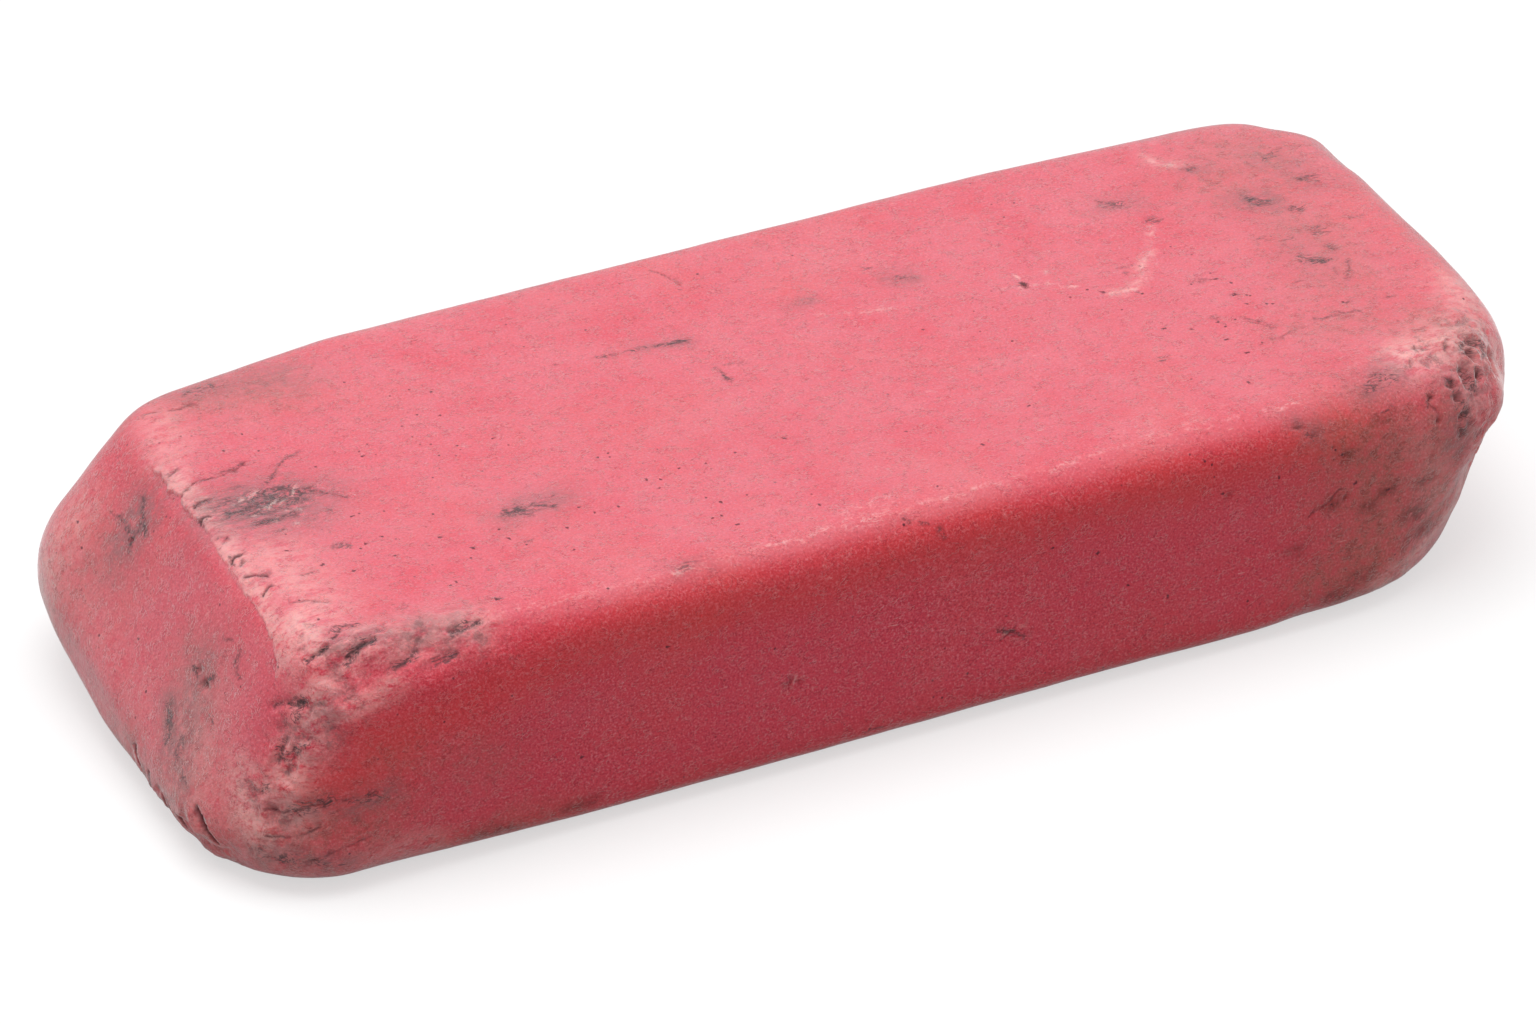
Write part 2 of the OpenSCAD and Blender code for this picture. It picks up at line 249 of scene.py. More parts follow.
# Specks of grit and graphite, pressed into the surface.
SPECK_SIZE = 0.065
SPECKS = {
    "top": [
        (-17.1, -9.3), (-23.7, -7.7), (1.5, -9.6),
        # Between the big smudge and the front edge
        (-22.2, 4.6), (-21, 4), (-21.1, 5.4), (-19.5, 2), (-22.9, -2.9), (-22, -4.4),
        (-19.7, -1.8), (-19.2, -3.6), (-20.3, -4), (-20, -3.8), (-19.3, -5), (-21.2, -5.3),
        (-17.3, -4.6), (-16.8, -3), (-17.1, -9.4), (-12.9, -10.4), (-18.3, -7.8), (-18, -7.7),
        (-14.9, -5.8), (-16.4, -5.8), (-16.8, -6.4), (-15, -5.1), (-14.5, -6.5), (-17.6, 1.9),
        # The middle
        (-13.2, 5), (-13.6, 3.3), (-12.5, 0.9), (-9.4, -2.1), (-8.9, -2), (-7.9, -4.6),
        (-6.9, -4.2), (-6.9, -6.5), (-6.5, -7), (-7.3, -7.9), (-6.9, -7.9), (-6.7, -8.7),
        (-6.6, -8.7), (-11.6, -5), (-12.6, -6.1), (-13, -7.6), (-10.2, -5.6), (-11.2, -5.6),
        (-8.2, -5.1), (-8.4, -4.4), (-4.5, -4.1), (-2.3, -4), (0, 8.4), (9, -1.5), (4.4, -7.7),
        (2.2, -5.6), (6.2, 0.8), (-16, 7.1), (-3.2, -8.8), (7.4, -6),
        # The right end
        (12.6, 0.4), (13.5, 0.6), (14, 0.2), (15.3, -0.6), (14.9, -3.3), (15.8, -3.8), (17.4, -0.8),
        (18.4, -0.9), (18.9, -1.4), (18.5, -2.3), (18.6, -2.3), (19, -2.5), (19.1, -2.6),
        (19.4, -3.4), (18.7, -3.1), (17, -3.8), (17.1, -4.2), (17.7, -3.9), (17.8, -5.9),
        (17, -6.3), (16.6, -5.1), (15.9, -8.2), (22.2, -4.6), (19.6, -3.5), (26.8, -6.2),
    ],
    "front": [
        (12.3, 9.2), (12.6, 9), (7.6, 6.4), (13.1, 7.6), (15.6, 7.6), (5.6, 7.2), (9, 4.5),
        (10.8, 3.5), (19.1, 6.4), (-0.6, 9.7), (-11, 7.4), (-20.2, 6.6), (-2.2, 1), (-14.6, 3.4),
        (18.1, 8.2), (18.4, 7.9), (20.6, 5.7), (18, 5.7), (-6.4, 6), (2, 2.4), (14.4, 2.2),
    ],
    "left": [(0.2, 5.6), (5.8, 6.4), (-1.6, 4.4), (-3.4, 8.8), (2.4, 4.6), (7, 6.8)],
    "back": [
        (-21.4, 6.2), (-14.2, 7), (-11.6, 2.6), (-6, 6.6), (-1.2, 3.4), (2.6, 7.4), (8.8, 6.6),
        (9.2, 6.4), (13, 2.6), (17.4, 7.2), (21, 5.2), (21.3, 5),
    ],
    "right": [(-5, 7), (-1, 6.6), (0.6, 3.4), (2.6, 6), (6, 4)],
    "bottom": [
        (-22, -3), (-21.4, 5.4), (-18.6, 1.2), (-15, -8), (-9.4, 6.6), (-8.8, 0.4), (-3, -4.2),
        (-0.6, 7.4), (1.8, -0.8), (5.6, 3.2), (7, -8.2), (11.4, 1), (15.2, 6.8), (16, -2),
        (19.4, -6), (21.6, 2.2),
    ],
}

# The grey haze round graphite.
HAZE = {
    "top": [
        (1.9, 1, (-23.6, 0.6), (-21.6, 0.2)), (1.4, 0.5, (-22.4, -0.8), (-20, 0)),
        (0.9, 0.6, (-14.2, -4.3), (-12.2, -4)), (0.5, 0.5, (-4.2, 4.2), (-2.6, 4.1)),
        (0.5, 0.5, (2.4, 4.7), (3.2, 4.7)), (0.6, 0.6, (7, 4.8), (7.6, 4.6)),
        (0.7, 0.5, (17, 6.2), (18, 5.8)), (0.6, 0.5, (21.7, 7), (21.9, 7)),
        (1.3, 0.4, (24.6, 6.4), (25.8, 4.2)), (0.9, 0.7, (22.5, 3.7), (23.4, 3.4)),
        (1.4, 0.25, (23.2, 1.4), (23, -1.6)), (0.8, 0.6, (20.3, -10.1), (21.4, -9.7)),
        (0.6, 0.4, (-10, -10.3), (-8.8, -10.1)), (1.2, 0.5, (-21.6, 9.1), (-18, 8.6)),
        (0.8, 0.6, (-23.6, -9.2), (-22, -9.6), (-19, -10.2)),
        (1.3, 0.6, (25.8, -8.9), (24.4, -10.6)),
    ],
    "front": [
        (0.6, 0.5, (-24.4, 8), (-25.6, 6.2)), (0.7, 0.6, (-26.2, 3.6), (-22.7, 4.2)),
        (0.6, 0.6, (-27.2, 1.9), (-24.4, 1.5)), (0.8, 0.6, (24, 8.8), (23.9, 6.6)),
        (0.6, 0.6, (16.4, 9.5), (17.4, 8.9)),
    ],
    "left": [
        (1.3, 0.8, (3.8, 7.6), (3.8, 8.7)), (1.2, 0.6, (-4.2, 6.6), (-4.8, 5)),
        (0.8, 0.7, (-3.3, 4.8), (-4.2, 3.6)), (0.8, 0.6, (-4.9, 4), (-6, 2.8)),
    ],
    "right": [
        (0.9, 0.6, (4, 5.4), (3.4, 6.8)),
    ],
    "back": [
        (1, 0.6, (13.8, 6.2), (15.4, 6)), (1, 0.6, (-18.2, 3), (-16.4, 3.4)),
    ],
    "bottom": [
        (1.6, 0.6, (-14.2, 3), (-11.8, 3.4)), (1.8, 0.5, (17.6, 4), (20.4, 5)),
    ],
}

# Brown-grey handling dirt.
GRIME = {
    "top": [
        (2, 0.5, (-21.6, 8.6), (-18.4, 8)), (2.6, 0.5, (22.6, 5.6), (24.2, 7.4)),
        (2.6, 0.35, (23.6, 0.4), (22.8, -3.2)), (1.6, 0.4, (19.8, -5.6), (22.4, -6.2)),
        (1.8, 0.6, (24.6, -7.6), (25.4, -9)),
    ],
    "front": [
        (2.8, 1, (19.8, 7.4), (20.4, 2.6)), (1.7, 1, (23, 7.6), (23.2, 3.8)),
        (1.4, 0.9, (17.6, 2), (21, 1.4)), (2, 0.7, (-27, 2.4), (-23, 2.8)),
        (0.9, 0.5, (-20.6, 1.1), (-15, 1)), (1.6, 0.35, (-22.4, 5.4), (-18.4, 4.2)),
        (1.3, 0.8, (23.4, 8.3), (24.2, 6.4)),
    ],
    "left": [
        (2.2, 0.5, (-4.4, 6.4), (-6, 3)), (2.6, 0.45, (4.4, 7.4), (6.8, 4.4)),
        (1.4, 0.6, (-1, 1.2), (-8, 1.4)),
    ],
    "right": [
        (2, 0.6, (4, 4), (6, 6)),
    ],
    "back": [
        (2.4, 0.7, (-22, 5), (-24, 6)), (2.6, 0.6, (19, 5), (22, 4)),
    ],
    "bottom": [
        (3, 0.6, (-20, 0), (-24, 4)), (3, 0.5, (14, -4), (22, 0)),
    ],
}

# Dark brown spots of dirt in small hollows.
BLOTCHES = {
    "front": [
        (0.3, 0.9, (22.2, 5.6), (22.5, 5.6)), (0.26, 0.8, (20.4, 5.7), (20.8, 5.7)),
        (0.3, 0.7, (19.5, 5.2), (19.9, 5.2)), (0.4, 1, (21.8, 4.2), (22.4, 4)),
        (0.5, 0.8, (22.4, 2.9), (22.8, 2.9)), (0.4, 0.5, (21.8, 2.8), (22, 2.8)),
        (0.3, 0.8, (17.8, 5.7), (18.2, 5.7)), (0.4, 0.8, (18.2, 1.2), (19, 1.1)),
        (0.4, 0.5, (19.2, 1.9), (19.8, 1.9)), (0.2, 0.7, (18.2, 7.9), (18.9, 7.7)),
        (0.2, 0.6, (20, 8.9), (20.9, 8.9)), (0.3, 0.6, (16.2, 4), (16.6, 4)),
        (0.3, 0.6, (-15, 1.2), (-14, 1.2)), (0.3, 0.6, (-19, 0.9), (-17.4, 0.9)),
    ],
    "left": [
        (0.4, 0.6, (-3.4, 4.6), (-3.8, 4.2)),
    ],
}

# Pale places, where the skin of the rubber is rubbed off and dusty, and one painted highlight of rim
# light on the right end's front corner.
SCUFFS_AND_RIM_LIGHT = {
    "top": [
        (1.1, 0.4, (-24.3, 5.6), (-23.6, 7.6)), (1.5, 0.5, (-23.6, -3), (-23.4, -7.4)),
        (0.7, 0.7, (-24.6, -8), (-23.6, -9.8)), (0.9, 0.7, (-23.6, -9.4), (-18.4, -10.2)),
        (1, 0.9, (-24.4, -7.4), (-24.4, -9)), (1.2, 0.9, (22.6, -9.2), (24.4, -9)),
        (1.5, 0.8, (24, -9.2), (26.2, -8.4)), (1.2, 0.6, (26.4, -8), (27.2, -5)),
        (0.3, 0.4, (14.3, 0), (15.1, -0.2), (15.8, 0.5), (16.6, 1.6), (17.1, 2)),
        (0.3, 0.4, (20.4, 8.9), (20.7, 7.9), (21.4, 7.5)),
    ],
    "front": [
        (0.5, 0.6, (-24.4, 7.6), (-22, 8.5)), (1, 0.75, (-24.6, 8.6), (-25.3, 6.8), (-26.2, 4.6)),
        (1.1, 0.8, (-27.4, 4.4), (-27.2, 2.2)), (0.9, 0.7, (-26.6, 4.6), (-26, 3.4)),
        (1, 0.5, (24.6, 8.6), (25.2, 4.4)), (1.4, 0.25, (22.4, 7.2), (23.2, 4.6)),
        (0.6, 0.8, (25.7, 6.4), (25.1, 4.1), (24.1, 2.7), (22.6, 1.7), (20.6, 1)),
        (0.9, 0.45, (-27, 1.5), (-21, 1.2)),
    ],
    "left": [
        (2.4, 0.42, (-5, 4.6), (-6.6, 2.6)), (1.6, 0.5, (7.4, 7), (7, 3.4)),
        (2.6, 0.2, (-2, 3.6), (5, 4.6)),
    ],
    "right": [
        # A painted highlight: rim light from the right on the front corner
        (1.6, 0.75, (-8.6, 8.4), (-9, 4.4)),
        (1.2, 0.4, (2, 8.4), (6, 8)),
    ],
    "back": [
        (0.8, 0.5, (-23, 8.6), (-10, 9.2)), (0.9, 0.6, (22, 8.4), (24, 7.4)),
    ],
    "bottom": [
        (2.4, 0.35, (-10, -6), (6, -7)), (1.6, 0.5, (-24, -6), (-25, 2)),
    ],
}

# Warm red places: partly fresh rubber where an edge is rubbed down, partly painted light: a red glow
# under the top front and back edges, and rim light on the right end's front corner and top edge.
FRESH_AND_PAINTED_LIGHT = {
    "top": [
        (1.4, 0.6, (27.6, -6), (28, 2)),
    ],
    "front": [
        (1.5, 1, (-23, 6.2), (-14, 8.5), (4, 8.7), (18, 8.8)), (1.5, 1, (-25.2, 4.6), (-21, 6.6)),
        (1, 0.6, (-20, 0.9), (-2, 0.7), (16, 0.8)),
    ],
    "left": [
        (1.2, 0.6, (7.6, 3.6), (4, 1.8), (-2, 1.6)),
    ],
    "right": [
        (1.4, 1, (-9.2, 1.8), (-9.6, 6.6)),
    ],
    "back": [
        (1.2, 0.8, (-22, 8.4), (20, 8.8)), (1, 0.5, (-20, 1), (20, 0.9)),
    ],
}

# Where the top front edge is chafed, so that pale fibres stand up along it.
CHAFED = {
    "top": [
        (0.22, 1, (-17.4, -10.2), (-14, -10.4), (-10, -10.5), (-4.6, -10.4), (3.8, -10.35), (10.5,
         -10.1), (17, -10.2)),
        (0.5, 0.6, (-3, -9.8), (0.6, -9.3)), (0.8, 0.4, (9, -9.6), (20, -9.2)),
    ],
}

# Cracks and gouges, with their depth in place of a strength; shade is painted into them by that
# depth, darkest at the bottom.
CRACKS = {
    "top": [
        # Across the pale band of the left end's top edge
        (0.05, 0.07, (-24.8, 4), (-24.5, 4.2), (-24.3, 4.3)),
        (0.05, 0.08, (-24.9, 2.6), (-24.6, 2.8)),
        (0.04, 0.06, (-24.6, 2.8), (-23.9, 3.1), (-23.3, 2.9), (-22.6, 3.1), (-21.8, 3.5)),
        (0.05, 0.08, (-24.8, 1.5), (-24.5, 1.7), (-24.2, 1.7)),
        (0.05, 0.08, (-25, 0.5), (-24.7, 0.7), (-24.5, 0.6)),
        (0.05, 0.07, (-24.8, -1.3), (-24.5, -1)),
        (0.06, 0.09, (-25, -2.5), (-24.8, -2.3), (-24.5, -2.3)),
        (0.05, 0.07, (-24.8, -2.9), (-24.6, -2.6)),
        (0.06, 0.09, (-24.9, -3.6), (-24.6, -3.8), (-24.2, -4.1)),
        (0.06, 0.09, (-24.8, -5.1), (-24.5, -4.8), (-24.3, -4.7)),
        (0.05, 0.06, (-24.2, -6.2), (-23.4, -6.4), (-22.9, -6.9)),
        (0.05, 0.06, (-23.8, 8.4), (-22.8, 8.1), (-21.9, 8.3)),
        # The top
        (0.04, 0.05, (18, -4.2), (18.4, -4.6), (18.7, -5.1)),
        (0.04, 0.05, (17.6, -6), (18.7, -5.8), (19.3, -5.6), (20, -5.6)),
        (0.03, 0.04, (20.3, -5.5), (21, -5.4), (22.2, -5.5)),
        (0.04, 0.05, (-1.6, 9.6), (-1.2, 8.9), (-1, 7.9)),
    ],
    "front": [
        # The front foot of the left end
        (0.06, 0.07, (-26.9, 3.6), (-26.2, 3.7)),
        (0.05, 0.06, (-26, 3.8), (-24.9, 4.1), (-23.2, 4.2)),
        (0.05, 0.07, (-25.6, 1.7), (-24.6, 2.1), (-23.4, 2.4)),
        (0.05, 0.06, (-27, 2.6), (-26, 2.7), (-25.2, 3.1)),
        # The front side
        (0.05, 0.06, (17, 5.4), (17.8, 5.8), (18.4, 6.3)), (0.04, 0.05, (3.2, 4.1), (4.3, 3.6)),
        (0.04, 0.05, (3.4, 3.5), (4.1, 4)),
        # The front nose of the right end
        (0.05, 0.05, (22.6, 8.8), (22.9, 8.4), (22.7, 7.8)),
    ],
    "left": [
        # The left end and its torn foot
        (0.08, 0.14, (-2, 2.4), (-2.1, 2.1), (-2.3, 1.7)),
        (0.1, 0.1, (-3.3, 2), (-3.5, 1.4), (-3.4, 0.9)),
        (0.12, 0.14, (-4.5, 1.5), (-4.6, 1.1), (-4.4, 0.7)), (0.12, 0.14, (-5.9, 1.5), (-6, 1)),
        (0.09, 0.24, (-7.2, 2.6), (-7.6, 2.3), (-7.9, 1.9), (-8.1, 1.5)),
    ],
    "right": [
        (0.05, 0.06, (1, 4.4), (2.2, 4.8), (3, 4.6)),
    ],
    "back": [
        (0.05, 0.06, (-20, 4.6), (-18.8, 5), (-17.6, 4.8)),
        (0.05, 0.06, (16.8, 2.6), (18, 3), (19, 2.8)),
    ],
    "bottom": [
        (0.05, 0.06, (-6, 2), (-4.4, 2.6), (-3, 2.4)),
        (0.05, 0.06, (12, 6), (13, 6.6), (14.4, 6.4)),
    ],
}

# Thin pale scratches.
SCRATCHES = {
    "top": [
        # Along the crest of the top front edge
        (0.06, 0.55, (-17.4, -10.2), (-14, -10.4), (-10, -10.5), (-4.6, -10.4), (3.8, -10.35)),
        (0.06, 0.45, (3.8, -10.35), (10.5, -10.1), (17, -10.2)),
        # Round the pit, at the right end, and in the big smudge
        (0.06, 0.9, (11.4, 2.4), (11.3, 3.5)), (0.06, 0.9, (11.6, 1.9), (12.5, 1.5), (13.2, 1)),
        (0.05, 0.7, (11.2, 2), (10.3, 2.1)), (0.05, 0.7, (11.7, 2.3), (12.9, 2.6)),
        (0.08, 0.7, (14, 0.1), (15.1, -0.2), (15.8, 0.5), (16.5, 1.6), (17.1, 2), (18.1, 3.8)),
        (0.08, 0.6, (14.8, -0.6), (15.6, 0), (16.9, 1.2)),
        (0.06, 1, (-23.1, -0.2), (-22.3, 0.2), (-21.8, 0.6)), (0.06, 1, (-22.7, 0.2), (-21.6, 0.5)),
        (0.05, 1, (-22.6, -0.8), (-21.9, -0.5), (-21.2, -0.4)),
        (0.05, 1, (-23.4, 0.9), (-22.8, 1), (-22.2, 1.3)), (0.05, 1, (-22.4, -1.6), (-21.6, -1.3)),
        (0.05, 0.8, (-21.9, 0.1), (-21.2, 0.5), (-20.8, 1.1)),
        (0.05, 0.6, (2.6, 3.7), (4.6, 3), (6.4, 2.6)),
        (0.05, 0.6, (3.6, -3.2), (4.6, -3.4), (4.8, -4.4)),
        (0.07, 0.6, (20.4, 8.9), (20.7, 7.9), (21.4, 7.5)), (0.05, 0.6, (-2.9, -9.7), (-0.6, -9.5)),
    ],
    "front": [
        (0.06, 0.8, (3.2, 3.7), (4.4, 3.9)), (0.06, 0.8, (-5.8, 4), (-5.2, 4.5)),
        (0.05, 0.6, (-4.2, 9), (-3.8, 8.2)),
    ],
    "left": [
        (0.05, 0.7, (-1, 9), (-1.2, 8.2)), (0.05, 0.6, (-2.6, 8.8), (-3, 8.2)),
    ],
}

# Lips: (depth, reach, place, place, ...). The rubber is worn back by depth beneath each, fading
# out over the reach. Each runs so that its worn side is on the right of one who walks along it.
LIPS = [
    # The left end's top edge, where it overhangs at the back, then to the front corner
    (0.1, 1.2, (-25.1, 6.4, 9.65), (-25, 5.3, 9.75), (-24.9, 3.4, 9.75), (-24.9, 2, 9.75),
     (-24.9, 0.4, 9.7), (-24.9, -1.6, 9.6)),
    (0.045, 1.6, (-24.9, 0.8, 9.7), (-24.9, -0.9, 9.65), (-24.95, -3.5, 9.45), (-24.9, -5.6, 9.25),
     (-24.9, -7.5, 8.95), (-25.05, -8, 8.6), (-25.5, -8.7, 7.3)),
]

# Places that stand a little proud, or are worn a little low, with their height as strength.
SWELLS = {
    "top": [
        # Hollows in the rubbed-down edge
        (0.24, -0.1, (-23.6, -8.8), (-23.2, -8.6), (-22.8, -8.7)),
        (0.22, -0.16, (-23.3, -9.7), (-22.9, -9.6), (-22.4, -9.6)),
        (0.18, -0.12, (-19.3, -10.2), (-18.3, -10.2)), (0.18, -0.14, (-24.7, -9.2), (-24.1, -9.2)),
    ],
    "front": [
        (1.1, 0.15, (25.3, 5), (24.7, 3.4)), (1.4, 0.1, (-25.4, 1.2), (-24.6, 1)),
        # Hollows in the rubbed-down edge
        (0.22, -0.14, (-21.8, 9.1), (-21.4, 9.1), (-20.9, 9.3)),
        (0.18, -0.12, (-20.3, 8.9), (-19.5, 9.1)),
    ],
    "left": [
        (2.4, 0.26, (1.8, 2.6), (5, 3.4)), (2, 0.1, (6.6, 4.2), (6.8, 5)),
        # Hollows in the rubbed-down edge
        (0.24, -0.16, (-9.3, 7.8), (-9.7, 7.9)), (0.16, -0.1, (-8.7, 7.4), (-9, 7.7)),
        (0.16, -0.14, (-9.6, 5.6), (-9.6, 6.3)),
        # Flaps of the torn foot
        (0.34, 0.26, (-5.6, 1.9), (-6, 2)), (0.3, 0.2, (-3, 1.7), (-3.5, 1.6)),
        (0.3, 0.26, (-7, 2.1), (-7.3, 1.8)),
    ],
    "right": [
        (2, 0.04, (-8, 9), (-6, 9.2)), (2, 0.1, (-3.4, 9.4), (-2, 9.4)),
        (2.6, 0.1, (-6, 6), (3, 6)), (1.3, 0.32, (-10, 7), (-10, 5.6)),
        (0.7, -0.15, (6.6, 9.4), (5.9, 9.4)), (0.6, 0.08, (8, 9.2)),
    ],
    "back": [
        (1.6, 0.14, (-24.4, 9.2), (-25.4, 8.4)), (1.3, 0.05, (23.4, 9), (24.6, 8.6)),
    ],
}

# Torn places, where chips broke away and left crumbly rubber.
TORN = {
    "top": [
        (1.3, 1, (-24.5, -8.9), (-22.6, -9.6), (-18.2, -10.4)), (1.2, 1, (24.9, -10), (25.9, -8.8)),
        (1.7, 0.85, (23.2, -9.4), (26, -8.4)), (0.35, 0.35, (-24.8, 5), (-24.9, -1), (-24.9, -7.8)),
    ],
    "front": [
        (1.2, 1.2, (-24.2, 8), (-25.5, 6.4), (-26.6, 4.4)), (0.9, 0.7, (-27.2, 3.3), (-26.2, 3.7)),
        (1.2, 0.8, (24.2, 8.4), (25.6, 5)), (1.4, 0.3, (21, 1.2), (24, 4)),
    ],
    "left": [
        (0.9, 0.9, (-2.2, 1.5), (-8.4, 1.2)),
    ],
    "back": [
        (1, 0.5, (-26, 2.6), (-26.6, 3.6)), (0.9, 0.4, (23, 8.4), (24, 7.6)),
    ],
}

# Pits and small gouges: (radius, depth, point)
PITS = {
    "top": [
        (0.14, 0.16, (11.45, 2.05)), (0.3, 0.3, (24.6, -10.1)), (0.24, 0.24, (24.6, -10.4)),
        (0.24, 0.26, (25.3, -9.5)), (0.26, 0.16, (25.6, -8.8)), (0.22, 0.14, (25, -9.2)),
        (0.2, 0.12, (24.3, -9.1)), (0.16, 0.1, (23.1, -8.8)), (0.14, 0.1, (22.4, -9.6)),
    ],
    "front": [
        (0.3, 0.16, (-26.7, 3.7)), (0.24, 0.22, (25.2, 8.9)), (0.22, 0.2, (23.8, 9.2)),
        (0.2, 0.16, (23.8, 8.8)), (0.2, 0.14, (24.2, 7.9)), (0.18, 0.12, (24, 7.2)),
        (0.14, 0.1, (22.6, 9)), (0.16, 0.12, (22.7, 8.2)), (0.12, 0.08, (16.5, 9.4)),
        (0.14, 0.08, (17.1, 9)), (0.1, 0.07, (17.9, 8.3)), (0.12, 0.08, (18.5, 7.9)),
        (0.14, 0.1, (13.3, 7.5)), (0.14, 0.1, (22.6, 8.9)), (0.16, 0.14, (-5.7, 4.2)),
        (0.12, 0.1, (-5.4, 4.2)), (0.16, 0.1, (18.6, 5.9)),
    ],
    "left": [
        (0.2, 0.14, (-4.7, 6.3)), (0.16, 0.1, (-4, 6.6)), (0.16, 0.1, (3.3, 8)),
    ],
    "right": [
        (0.34, 0.26, (-8.9, 8.8)), (0.26, 0.2, (-9.3, 8.5)), (0.2, 0.12, (5.4, 5)),
    ],
    "back": [
        (0.2, 0.12, (11, 4)), (0.16, 0.1, (-9, 5.5)),
    ],
    "bottom": [
        (0.24, 0.12, (-17, -5)), (0.2, 0.1, (3, 5)),
    ],
}

# What is kept on the mesh for the material: the marks of each kind, and the size, the reach and the
# seed of the drift that makes their edges ragged.
MARKS = {
    "graphite": (GRAPHITE, 0.7, 0.22, 2.0),
    "pencil": (PENCIL, 0.5, 0.08, 37.0),
    "fresh": (FRESH_AND_PAINTED_LIGHT, 2.0, 0.4, 31.0),
    "speck": (
        {face: [(SPECK_SIZE, 1, spot) for spot in spots] for face, spots in SPECKS.items()},
        0.3, 0.04, 29.0,
    ),
    "haze": (HAZE, 1.2, 0.5, 25.0),
    "grime": (GRIME, 2.0, 0.6, 4.0),
    "blotch": (BLOTCHES, 0.7, 0.25, 35.0),
    "scuff": (SCUFFS_AND_RIM_LIGHT, 0.8, 0.2, 6.0),
    "chafe": (CHAFED, 1.5, 0.15, 8.0),
    "crack": (CRACKS, 0.5, 0.07, 9.0),
    "crevice": (TORN, 1.4, 0.3, 13.0),
    "scratch": (SCRATCHES, 0.9, 0.14, 3.0),
}


def on_face(skin, face, first, second):
    """The point of the block's skin at two coordinates of one of its faces."""
    axis, way, across = FACES[face]
    start = Vector((0.0, 0.0, 0.0))
    start[across[0]] = first
    start[across[1]] = second
    start[axis] = -way * 2 * max(HIGH - LOW)
    look = Vector((0.0, 0.0, 0.0))
    look[axis] = way
    point = skin.ray_cast(start, look)[0]
    if point is None:
        raise ValueError(f"the mark at {first}, {second} misses the {face} face")
    return np.array(point)


def laid_on(skin, marks):
    """The marks of all faces as (half width, strength, points on the skin)."""
    return [
        (width, strength, [on_face(skin, face, *point) for point in points])
        for face, rows in marks.items() for width, strength, *points in rows
    ]


def along(marks, width):
    """Strokes of one width and full strength along the marks."""
    return [(width, 1.0, line) for _, _, line in marks]


def off_stretches(points, line):
    """For each stretch of a line, where it runs and how each point lies off the nearest of it."""
    for start, end in zip(line, line[1:] or line):
        run = end - start
        share = np.clip((points - start) @ run / max(run @ run, 1e-9), 0, 1)
        yield run, points - start - share[:, None] * run


def distance_to_line(points, line):
    """Each point's distance to a line through several corners."""
    return np.min([np.linalg.norm(off, axis=1) for _, off in off_stretches(points, line)], axis=0)


def below_lip(points, out, line):
    """How far each point of the skin lies below the lip, which runs forwards; out is the way that
    the skin faces there."""
    nearest = np.full(len(points), np.inf)
    below = np.zeros(len(points))
    for run, off in off_stretches(points, line):
        gap = np.linalg.norm(off, axis=1)
        side = np.sign(np.sum(off * np.cross(run, out), axis=1))
        below = np.where(gap < nearest, side * gap, below)
        nearest = np.minimum(nearest, gap)
    return below


def ramp(value, low, high):
    """A smooth step from 0 at low to 1 at high."""
    share = np.clip((value - low) / (high - low), 0, 1)
    return share * share * (3 - 2 * share)


def bell(gap, width):
    """1 where the gap is 0, falling off to either side."""
    return np.exp(-(gap / width) ** 2)


def strokes(points, marks):
    """How strongly the strokes cover each point, from 0 to 1, with soft edges."""
    cover = np.zeros(len(points))
    for width, strength, line in marks:
        cover = np.maximum(cover, strength * bell(distance_to_line(points, line), width))
    return cover


def field(points, size, octaves=3, seed=0.0):
    """Fractal noise from about -1 to 1, whose largest lumps are about size across."""
    shift = Vector((seed, -seed, 2 * seed))
    return np.array([
        noise.fractal(Vector(point) / size + shift, 1.0, 2.0, octaves) for point in points
    ])


def drift(points, size, reach, seed):
    """Moves points about by up to reach, so that what is measured from them turns ragged."""
    return points + reach * np.stack(
        [field(points, size, 3, seed + offset) for offset in (0.0, 11.0, 23.0)], axis=1
    )


def in_scene(name, data):
    """A new object, placed in the scene."""
    made = bpy.data.objects.new(name, data)
    bpy.context.scene.collection.objects.link(made)
    return made


def places(block):
    """The mesh's points as an array."""
    return np.array([point.co for point in block.verts])


def faces_out(block):
    """The direction in which the surface faces at each point."""
    block.normal_update()
    return np.array([point.normal for point in block.verts])


def move(block, points):
    """Puts the mesh's points in new places."""
    for point, place in zip(block.verts, points):
        point.co = place


def relax(block, passes):
    """Smooths the mesh."""
    for _ in range(passes):
        bmesh.ops.smooth_vert(
            block, verts=block.verts, factor=0.5,
            use_axis_x=True, use_axis_y=True, use_axis_z=True,
        )


def refine(block, wanted):
    """Halves the edges between wanted points."""
    block.verts.index_update()
    edges = [edge for edge in block.edges if all(wanted[point.index] for point in edge.verts)]
    bmesh.ops.subdivide_edges(block, edges=edges, cuts=1, use_grid_fill=True, use_single_edge=True)


def solid_in_millimetres():
    """A merged copy of the CAD solid's loose triangles."""
    block = bmesh.new()
    block.from_mesh(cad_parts[NODE].data)
    bmesh.ops.remove_doubles(block, verts=block.verts, dist=0.001 * MM)
    bmesh.ops.scale(block, vec=(1 / MM,) * 3, verts=block.verts)
    return block


def evened(block):
    """The same closed shape on an even mesh of small quads, with its facets rounded off."""
    mesh = bpy.data.meshes.new("even")
    block.to_mesh(mesh)
    block.free()
    holder = in_scene("even", mesh)
    remesh = holder.modifiers.new("even", "REMESH")
    remesh.mode = "VOXEL"
    remesh.voxel_size = MESH_STEP
    even = bmesh.new()
    even.from_object(holder, bpy.context.evaluated_depsgraph_get())
    bpy.data.objects.remove(holder)
    bpy.data.meshes.remove(mesh)
    relax(even, FACET_SMOOTHING)
    return even


